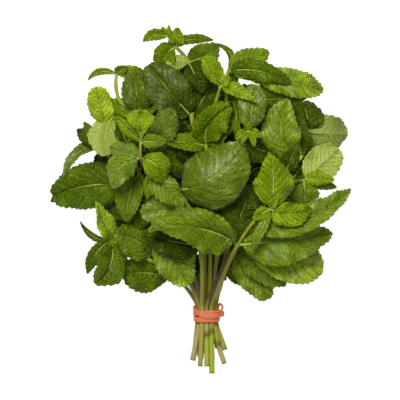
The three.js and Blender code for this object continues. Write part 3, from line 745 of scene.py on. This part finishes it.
        leaves=[
            leaf(0, (-20, 84, 26), 26, arch=3, tone=1.0),
            leaf(0, (20, 84, 26), 26, arch=3, tone=1.0),
            leaf(1, (-44, 116, 20), 28, arch=3, tone=0.95),
            leaf(1, (26, 124, 20), 30, arch=3, tone=0.95),
            leaf(2, (-44, 146, 26), 26, arch=3, tone=0.95),
            leaf(2, (20, 150, 24), 32, arch=3, tone=0.95),
            leaf(3, (-40, 172, 26), 22, arch=3, tone=0.95),
            leaf(3, (0, 177, 26), 26, arch=3, tone=0.95),
        ],
    ),
    "stem_back_right": dict(
        slot=(0.2, -4.7),
        cut=(2.6, -32.2, 1.1),
        nodes=[(9, 50, 9), (22, 85, 10), (36, 112, 12), (44, 132, 14)],
        leaves=[
            leaf(0, (44, 44, -1), 24, arch=3, tone=0.95),
            leaf(0, (4, 20, 4), 20, arch=3, tone=0.95),
            leaf(1, (70, 88, 4), 30, arch=3, tone=0.95),
            leaf(1, (-2, 110, 2), 24, arch=3, tone=0.95),
            leaf(2, (72, 122, -1.5), 30, arch=3, tone=0.95),
            leaf(2, (14, 142, 6), 26, arch=3, tone=0.95),
            leaf(3, (64, 156, 10), 26, arch=3, tone=0.95),
            leaf(3, (20, 162, 8), 26, arch=3, tone=0.95),
        ],
    ),
    "stem_back_left": dict(
        slot=(-3.1, -4.7),
        cut=(-5.8, -32.2, 1.1),
        nodes=[(-12, 45, 8), (-30, 80, 10), (-48, 108, 12), (-58, 128, 14)],
        leaves=[
            leaf(0, (-46, 42, -1), 24, arch=3, tone=0.95),
            leaf(0, (-8, 16, 3), 16, arch=2, tone=0.95),
            leaf(1, (-70, 82, 4), 28, arch=3, tone=0.95),
            leaf(1, (-14, 114, 3), 24, arch=3, tone=0.95),
            leaf(2, (-82, 110, -1.5), 26, arch=3, tone=0.95),
            leaf(2, (-22, 134, 6), 26, arch=3, tone=0.95),
            leaf(3, (-74, 148, 10), 24, arch=3, tone=0.95),
            leaf(3, (-38, 152, 8), 24, arch=3, tone=0.95),
        ],
    ),
}

# ---- lines through space ----


def stem_points(stem):
    across, up = stem["slot"]
    tie = [Vector((across, along, TIE_HEIGHT + up)) for along in (-TIE_REACH, 0, TIE_REACH)]
    return [Vector(stem["cut"])] + tie + [Vector(node) for node in stem["nodes"]]


def curve_point(points, share):
    """The point of a centripetal Catmull-Rom curve through the points."""
    reach = share * (len(points) - 1)
    at = min(int(reach), len(points) - 2)
    step = reach - at
    start, end = points[at], points[at + 1]
    before = points[at - 1] if at > 0 else 2 * start - end
    after = points[at + 2] if at + 2 < len(points) else 2 * end - start
    gap0 = math.sqrt((start - before).length)
    gap1 = math.sqrt((end - start).length)
    gap2 = math.sqrt((after - end).length)
    leave = ((start - before) / gap0 - (end - before) / (gap0 + gap1) + (end - start) / gap1) * gap1
    reached = ((end - start) / gap1 - (after - start) / (gap1 + gap2) + (after - end) / gap2) * gap1
    square = 3 * (end - start) - 2 * leave - reached
    cube = 2 * (start - end) + leave + reached
    return start + leave * step + square * step**2 + cube * step**3


def spans(stem):
    """How many spans the stem's curve has, from its cut end to its last node."""
    return len(stem["nodes"]) - 1 + POINTS_BELOW_NODES


def node_share(stem, node):
    return (node + POINTS_BELOW_NODES) / spans(stem)


def purple_at(stem, share):
    """How purple a stem is, from its stains of (node, reach in nodes, strength)."""
    node = share * spans(stem) - POINTS_BELOW_NODES
    stains = [
        strength * math.exp(-(((node - at) / reach) ** 2))
        for at, reach, strength in stem.get("purple", [])
    ]
    return max(stains, default=0)


def leaf_line(root, held):
    """The midrib as a bent line: a function giving its point, its way right and the way it faces."""
    chord = held["tip"] - root
    along = chord.normalized()
    face = (Vector((0, 0, 1)) - along * along.z).normalized()
    side = face.cross(along)
    up = face * math.cos(held["roll"]) + side * math.sin(held["roll"])
    left = up.cross(along)
    bend = root + chord * BEND_SHARE + up * 2 * held["arch"] + left * 2 * held["bow"]

    def at(share):
        point = root * (1 - share) ** 2 + bend * 2 * share * (1 - share) + held["tip"] * share**2
        tangent = ((bend - root) * (1 - share) + (held["tip"] - bend) * share).normalized()
        right = (tangent * left.dot(tangent) - left).normalized()
        return point, right, right.cross(tangent)

    return at


# ---- meshes ----


def sheet(bm, columns, rows, place):
    """Adds a grid of faces and lets place(vert, column, row) put each corner where it belongs."""
    verts = bmesh.ops.create_grid(bm, x_segments=columns, y_segments=rows, size=1.0)["verts"]
    for vert in verts:
        column = round((vert.co.x + 1) / 2 * columns)
        row = round((vert.co.y + 1) / 2 * rows)
        place(vert, column, row)
    return verts


def tube(bm, sides, rings, place):
    """Adds a closed tube, with place(vert, angle, ring) for its corners. Returns its faces and its ends."""
    def wrap(vert, column, row):
        place(vert, column / sides * 2 * math.pi, row)

    verts = sheet(bm, sides, rings, wrap)
    bmesh.ops.remove_doubles(bm, verts=verts, dist=MERGE_DISTANCE)
    verts = [vert for vert in verts if vert.is_valid]
    rims = [edge for edge in {edge for vert in verts for edge in vert.link_edges} if edge.is_boundary]
    ends = bmesh.ops.holes_fill(bm, edges=rims, sides=0)["faces"]
    faces = list({face for vert in verts for face in vert.link_faces})
    bmesh.ops.recalc_face_normals(bm, faces=faces)
    for face in faces:
        face.smooth = True
    return faces, ends


def layers_of(bm):
    layer = bm.verts.layers.float_vector
    return {name: layer.get(name) or layer.new(name) for name in ("flat", "rib", "tints")}


def outline(share, held):
    """Half the width of a blade at a share of its length, as a share of half its widest."""
    if not 0 < share < 1:
        return 0.0
    return math.sin(math.pi * share ** (math.log(0.5) / math.log(held["belly"]))) ** held["blunt"]


def blade_rows(length):
    """The rows of a blade as (share of the leaf's length, how far out its tooth stands there)."""
    teeth = max(FEWEST_TEETH, round(length * (1 - PETIOLE_SHARE) / TOOTH_PITCH))
    rows = [(PETIOLE_SHARE * step / PETIOLE_ROWS, 0.0) for step in range(PETIOLE_ROWS)]
    for step in range(teeth * TOOTH_STEPS):
        share = step / (teeth * TOOTH_STEPS)
        share = EVEN_PART * share + CROWDED_PART * (1 - math.cos(math.pi * share)) / 2
        out = (step % TOOTH_STEPS) / (TOOTH_STEPS - 1)
        rows.append((PETIOLE_SHARE + (1 - PETIOLE_SHARE) * share, out))
    return rows + [(1.0, 0.0)]


def quilt(across, along, half, length, seed):
    """The place between the side ribs, and how high the blade puffs up there."""
    aside = abs(across)
    spacing = length / (RIB_PAIRS + 1)
    wander = QUILT_WANDER * noise.noise(Vector((across / WANDER_SIZE, along / WANDER_SIZE, seed)))
    phase = (along - RIB_SLANT * aside - RIB_CURVE * aside**2 / max(half, 1)) / spacing + wander
    rise = abs(math.sin(math.pi * phase)) ** PUFF_ROUNDING
    cell = aside / CELL_LENGTH + 0.5 * math.floor(phase) + 2 * wander
    rise *= 0.5 + 0.5 * abs(math.sin(math.pi * cell)) ** PUFF_ROUNDING
    lumps = 0.5 + 0.5 * noise.noise(Vector((across / LUMP_SIZE, along / LUMP_SIZE, seed + 7)))
    near_rib = min(1, aside / FLAT_BESIDE_MIDRIB)
    near_edge = 1 - 0.6 * min(1, aside / max(half, 0.1)) ** 3
    return phase, (0.55 * rise + 0.6 * lumps * rise) * near_rib * near_edge


def add_blade(bm, root, held, seed):
    layers = layers_of(bm)
    line = leaf_line(root, held)
    length = (held["tip"] - root).length
    rows = blade_rows(length)
    columns = 2 * max(4, min(16, round(held["width"] / COLUMN_WIDTH)))
    chance = random.Random(seed)
    wave_turn = [chance.uniform(*ANY_TURN), chance.uniform(*ANY_TURN)]
    curl = [chance.uniform(*EDGE_CURL), chance.uniform(*EDGE_CURL)]
    twist = held["twist"] + math.radians(chance.uniform(-LEAF_TWIST, LEAF_TWIST))
    ripple_turn = chance.uniform(*ANY_TURN)
    size = min(1.0, held["width"] / FULL_WIDTH)
    usual_depth = TOOTH_DEPTH * (0.45 + 0.55 * size)
    depth = [usual_depth * chance.uniform(*TOOTH_SPREAD) for _ in rows]

    def place(vert, column, row):
        share, out = rows[row]
        point, right, up = line(share)
        turned = Matrix.Rotation(twist * (share - 0.5), 3, right.cross(up))
        right, up = turned @ right, turned @ up
        part = 2 * column / columns - 1
        blade_share = (share - PETIOLE_SHARE) / (1 - PETIOLE_SHARE)
        narrowest = PETIOLE_HALF_WIDTH if share < 0.5 else TIP_HALF_WIDTH
        half = max(narrowest, held["width"] / 2 * outline(blade_share, held))
        tooth = out * depth[row // TOOTH_STEPS] * min(1, half / TOOTHED_HALF)
        across = part * (half + tooth * abs(part) ** 3)
        along = share * length
        phase, puff = quilt(across, along, half, length, seed)
        grown = min(1, half / GROWN_HALF)
        side = 0 if part < 0 else 1
        turn = wave_turn[side]
        wave = MARGIN_WAVE * size * abs(part) ** 3 * math.sin(along / WAVE_LENGTH * 2 * math.pi + turn)
        lift = math.sin(held["fold"]) * abs(across) * (1.5 - 0.5 * abs(part))
        groove = MIDRIB_GROOVE * math.exp(-((across / GROOVE_WIDTH) ** 2)) * grown
        rise = lift + QUILT_HEIGHT * size * puff * grown + wave * grown - groove
        rise += curl[side] * half * abs(part) ** CURL_SHARPNESS
        rise += RIPPLE * size * grown * math.sin(share * RIPPLE_TURN + ripple_turn)
        forward = right.cross(up) * -1
        hook = TOOTH_HOOK * out * size * abs(part) ** 6
        vert.co = point + right * across * math.cos(held["fold"]) + up * rise + forward * hook
        vert.co.z = max(vert.co.z, LOWEST)
        vert[layers["flat"]] = (across, along, seed * PATTERN_SHIFT)
        vert[layers["rib"]] = (phase, abs(part), share)
        vert[layers["tints"]] = (held["tone"], held["sheen"], 0)

    for vert in sheet(bm, columns, len(rows) - 1, place):
        for face in vert.link_faces:
            face.smooth = True


def add_midrib(bm, root, held, seed):
    """The leaf's own stalk, which runs on as a rib under the blade."""
    layers = layers_of(bm)
    line = leaf_line(root, held)
    length = (held["tip"] - root).length
    thick = MIDRIB_RADIUS + held["width"] * 0.012
    rings = max(8, round(length * 0.75 / 2.5))

    def place(vert, angle, ring):
        share = MIDRIB_SHARE * ring / rings
        point, right, up = line(share)
        radius = thick * (1 - MIDRIB_TAPER * ring / rings)
        below = radius * 0.9 * min(1, share / PETIOLE_SHARE)
        vert.co = point + right * math.cos(angle) * radius + up * (math.sin(angle) * radius - below)
        vert.co.z = max(vert.co.z, LOWEST)
        vert[layers["flat"]] = (0, share * length, seed * PATTERN_SHIFT)
        vert[layers["rib"]] = (0.5, 0, share)
        vert[layers["tints"]] = (held["tone"], 0, 0)

    for face in tube(bm, MIDRIB_SIDES, rings, place)[0]:
        face.material_index = 1


def finish_mesh(name, bm, materials):
    for vert in bm.verts:
        vert.co = (vert.co + TIE) * MM
    mesh = bpy.data.meshes.new(name)
    bm.to_mesh(mesh)
    bm.free()
    for material in materials:
        mesh.materials.append(material)
    return link_object(name, mesh)


def make_leaves(name, stem):
    points = stem_points(stem)
    blades = bmesh.new()
    ribs = bmesh.new()
    for held in stem["leaves"]:
        root = curve_point(points, node_share(stem, held["node"]))
        seed = round(held["tip"].x * 17 + held["tip"].y * 29) % 997
        add_blade(blades, root, held, seed)
        add_midrib(ribs, root, held, seed)
    leaves = finish_mesh(name + "_leaves", blades, [FACE, BACK])
    wall = leaves.modifiers.new("thickness", "SOLIDIFY")
    wall.thickness = LEAF_THICKNESS * MM
    wall.offset = -1
    wall.material_offset = 1
    underneath = finish_mesh(name + "_ribs", ribs, [FACE, BACK])
    return leaves, underneath


def stem_rings(points):
    """Shares of the stem's curve that are evenly spread along it, and its length."""
    fine = [curve_point(points, step / CURVE_STEPS) for step in range(CURVE_STEPS + 1)]
    run = [0.0]
    for before, after in zip(fine, fine[1:]):
        run.append(run[-1] + (after - before).length)
    count = max(8, round(run[-1] / STEM_STEP))
    shares = []
    at = 0
    for ring in range(count + 1):
        wanted = run[-1] * ring / count
        while at < CURVE_STEPS - 1 and run[at + 1] < wanted:
            at += 1
        gap = run[at + 1] - run[at]
        shares.append((at + (wanted - run[at]) / gap) / CURVE_STEPS)
    return shares, run[-1]


def ring_frames(centres):
    """The ways to the side and up at each ring, turned no more than the stem bends."""
    frames = []
    right = Vector((1, 0, 0))
    for ring in range(len(centres)):
        ahead = centres[min(ring + 1, len(centres) - 1)] - centres[max(ring - 1, 0)]
        ahead.normalize()
        right = (right - ahead * right.dot(ahead)).normalized()
        frames.append((right.copy(), ahead.cross(right)))
    return frames


def make_stalk(name, stem, seed):
    bm = bmesh.new()
    layers = layers_of(bm)
    points = stem_points(stem)
    shares, length = stem_rings(points)
    centres = [curve_point(points, share) for share in shares]
    node_places = [curve_point(points, node_share(stem, node)) for node in range(len(stem["nodes"]))]
    scar_place = stem.get("scar", NO_SCAR)
    frames = ring_frames(centres)

    def place(vert, angle, ring):
        centre = centres[ring]
        side, up = frames[ring]
        nearest = min((centre - node).length for node in node_places)
        radius = STEM_FOOT_RADIUS + (STEM_TIP_RADIUS - STEM_FOOT_RADIUS) * shares[ring]
        radius *= 1 + NODE_SWELLING * math.exp(-((nearest / NODE_REACH) ** 2))
        radius *= 1 + STEM_SQUARENESS * math.cos(4 * angle + seed)
        scar = math.exp(-(((centre.y - scar_place) / SCAR_REACH) ** 2))
        radius *= 1 + SCAR_SWELLING * scar
        vert.co = centre + side * math.cos(angle) * radius + up * math.sin(angle) * radius
        vert.co.z = max(vert.co.z, LOWEST)
        vert[layers["flat"]] = (angle * 2, length * ring / len(centres), seed * PATTERN_SHIFT)
        tone = TONE_BELOW_SCAR if centre.y < scar_place else min(1, 1.5 - 1.3 * shares[ring])
        tan = stem.get("tan", 0) * min(1, max(0, 1.5 - centre.y / TAN_FADE)) * min(1, tone * 2)
        vert[layers["tints"]] = (tone, purple_at(stem, shares[ring]), 0)
        vert[layers["rib"]] = (tan, scar, 0)

    _, ends = tube(bm, STEM_SIDES, len(centres) - 1, place)
    foot = min(ends, key=lambda face: (face.calc_center_median() - centres[0]).length)
    bmesh.ops.inset_region(bm, faces=[foot], thickness=CUT_RIM)
    for vert in foot.verts:
        vert[layers["tints"]] = (0, 0, 1)
    return finish_mesh(name + "_stalk", bm, [SKIN])


# ---- the rubber band ----

BAND_TURNS = [
    dict(middle=-3.8, rise=0, dip=0, back=2.4, slack=0),
    dict(middle=1.1, rise=0.2, dip=0, back=0, slack=0),
    dict(middle=2.4, rise=-2.0, dip=3.6, back=0, slack=2.6),
]
BAND_LOOP = [
    (3.2, 2.0, 16.6), (7.0, 2.2, 15.4), (9.4, 3.8, 12.5), (9.4, 6.0, 10.5),
    (7.8, 7.2, 8), (6.8, 5.4, 6), (6.6, 2.4, 5),
]
BAND_LOOP_WIDTH = 2
BAND_LOOP_THICKNESS = 1.4
BAND_LOOP_RINGS = 40
BAND_LOOP_SIDES = 12


def bulged(value, power):
    """A sine or cosine pushed out towards 1, so that what it rounds gets squarer."""
    return math.copysign(abs(value) ** power, value)


def rounded(angle, half_wide, half_thick):
    """A flat strip's rounded outline at an angle round it."""
    wide = half_wide * bulged(math.cos(angle), BAND_ROUNDING)
    return wide, half_thick * bulged(math.sin(angle), BAND_ROUNDING)


def add_turn(bm, turn, layer):
    def place(vert, column, row):
        around = 2 * math.pi * row / BAND_STEPS
        wide, thick = rounded(2 * math.pi * column / BAND_SIDES, BAND_WIDTH / 2, BAND_THICKNESS / 2)
        cos, sin = math.cos(around), math.sin(around)
        along = turn["middle"] + turn["rise"] * cos + turn["back"] * (1 - sin) / 2
        along -= turn["dip"] * max(0, sin) ** 3
        out = BAND_THICKNESS * (0.5 + layer * 0.5 * (1 + sin) / 2) + thick
        slack = turn["slack"] * max(0, cos) ** 4
        x = BUNDLE_MIDDLE + (BAND_HALF_ACROSS + out + slack) * bulged(cos, BAND_SQUARENESS)
        z = TIE_HEIGHT + (BAND_HALF_UP + out) * bulged(sin, BAND_SQUARENESS)
        vert.co = (x, along + wide, z)

    verts = sheet(bm, BAND_SIDES, BAND_STEPS, place)
    bmesh.ops.remove_doubles(bm, verts=verts, dist=MERGE_DISTANCE)


def add_loop(bm):
    points = [Vector(point) for point in BAND_LOOP]

    def place(vert, angle, ring):
        share = ring / BAND_LOOP_RINGS
        centre = curve_point(points, share)
        ahead = curve_point(points, min(1, share + 0.02)) - curve_point(points, max(0, share - 0.02))
        ahead.normalize()
        side = ahead.cross(Vector((0, 0, 1))).normalized()
        wide, thick = rounded(angle, BAND_LOOP_WIDTH / 2, BAND_LOOP_THICKNESS / 2)
        vert.co = centre + side * thick + side.cross(ahead) * wide

    tube(bm, BAND_LOOP_SIDES, BAND_LOOP_RINGS, place)


def make_band():
    bm = bmesh.new()
    for layer, turn in enumerate(BAND_TURNS):
        add_turn(bm, turn, layer)
    add_loop(bm)
    bmesh.ops.recalc_face_normals(bm, faces=bm.faces)
    for face in bm.faces:
        face.smooth = True
    return finish_mesh("band", bm, [BAND])


# ---- put together ----


def make_floor():
    bm = bmesh.new()
    bmesh.ops.create_grid(bm, x_segments=1, y_segments=1, size=FLOOR_SIZE / 2)
    mesh = bpy.data.meshes.new("floor")
    bm.to_mesh(mesh)
    bm.free()
    mesh.materials.append(floor_material())
    link_object("floor", mesh)


def make_bunch():
    seed = 1
    for name, stem in STEMS.items():
        leaves, ribs = make_leaves(name, stem)
        stalk = make_stalk(name, stem, seed)
        for piece in (leaves, ribs, stalk):
            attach(piece, "root")
            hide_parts(name)
        seed += len(stem["leaves"])
    band = make_band()
    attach(band, "root")
    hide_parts("rubber_band")


make_floor()
make_bunch()
